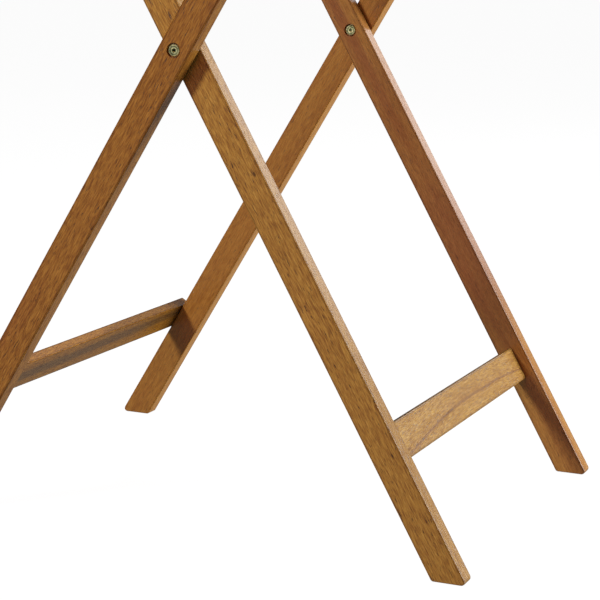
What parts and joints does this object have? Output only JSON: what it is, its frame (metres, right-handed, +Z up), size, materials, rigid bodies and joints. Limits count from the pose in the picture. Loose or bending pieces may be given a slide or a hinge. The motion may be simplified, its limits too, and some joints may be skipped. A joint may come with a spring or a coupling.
{
  "type": "folding tray table",
  "caption": "Folding tray table: a lift-off slatted wooden tray with hand-holds on a crossed-leg stand that folds flat on two bolted pivots.",
  "frame": {"origin": "on the floor under the middle of the tray, at the bottom centre of the bounding box", "axes": "+Z up, X along the tray's length and across the spread of the legs, Y along the stretchers and the pivot axis"},
  "size_m": [0.56, 0.42, 0.729],
  "materials": {
    "oiled_wood": "oiled hardwood, straight grain, satin",
    "dowel_wood": "pale unfinished hardwood",
    "zinc": "yellow zinc plate, satin",
    "nylon": "natural nylon"
  },
  "bodies": {
    "outer_frame": {"outer_leg_near": "oiled_wood", "outer_leg_far": "oiled_wood", "outer_stretcher": "oiled_wood", "outer_top_rail": "oiled_wood", "outer_stretcher_dowel_near_1": "dowel_wood", "outer_stretcher_dowel_near_2": "dowel_wood", "outer_stretcher_dowel_far_1": "dowel_wood", "outer_stretcher_dowel_far_2": "dowel_wood", "outer_top_rail_dowel_near_1": "dowel_wood", "outer_top_rail_dowel_near_2": "dowel_wood", "outer_top_rail_dowel_far_1": "dowel_wood", "outer_top_rail_dowel_far_2": "dowel_wood", "pivot_bolt_near": "zinc", "pivot_bolt_far": "zinc", "pivot_nut_near": "zinc", "pivot_nut_far": "zinc", "pivot_washer_near": "nylon", "pivot_washer_far": "nylon"},
    "inner_frame": {"inner_leg_near": "oiled_wood", "inner_leg_far": "oiled_wood", "inner_stretcher": "oiled_wood", "inner_top_rail": "oiled_wood", "inner_stretcher_dowel_near_1": "dowel_wood", "inner_stretcher_dowel_near_2": "dowel_wood", "inner_stretcher_dowel_far_1": "dowel_wood", "inner_stretcher_dowel_far_2": "dowel_wood", "inner_top_rail_dowel_near_1": "dowel_wood", "inner_top_rail_dowel_near_2": "dowel_wood", "inner_top_rail_dowel_far_1": "dowel_wood", "inner_top_rail_dowel_far_2": "dowel_wood"},
    "tray": {"tray_side_near": "oiled_wood", "tray_side_far": "oiled_wood", "tray_end_left": "oiled_wood", "tray_end_right": "oiled_wood", "tray_slat_1": "oiled_wood", "tray_slat_2": "oiled_wood", "tray_slat_3": "oiled_wood", "tray_slat_4": "oiled_wood", "tray_slat_5": "oiled_wood", "tray_slat_6": "oiled_wood", "tray_slat_7": "oiled_wood", "tray_batten_left": "oiled_wood", "tray_batten_middle": "oiled_wood", "tray_batten_right": "oiled_wood", "tray_batten_left_dowel_near": "dowel_wood", "tray_batten_left_dowel_far": "dowel_wood", "tray_batten_middle_dowel_near": "dowel_wood", "tray_batten_middle_dowel_far": "dowel_wood", "tray_batten_right_dowel_near": "dowel_wood", "tray_batten_right_dowel_far": "dowel_wood", "corner_screw_left_1": "zinc", "corner_screw_left_2": "zinc", "corner_screw_left_3": "zinc", "corner_screw_left_4": "zinc", "corner_screw_right_1": "zinc", "corner_screw_right_2": "zinc", "corner_screw_right_3": "zinc", "corner_screw_right_4": "zinc"}
  },
  "joints": [
    {"name": "stand_fold", "type": "hinge", "parent": "outer_frame", "child": "inner_frame", "pos_m": [0, 0, 0.375], "axis": [0, 1, 0], "range_deg": [0, 59.5]},
    {"name": "tray_lift", "type": "slide", "parent": "outer_frame", "child": "tray", "axis": [0, 0, 1], "range_m": [0, 0.22]}
  ],
  "couplings": [
    {"joint": "tray_lift", "follows": "stand_fold", "m_per_rad": 0.2115}
  ]
}
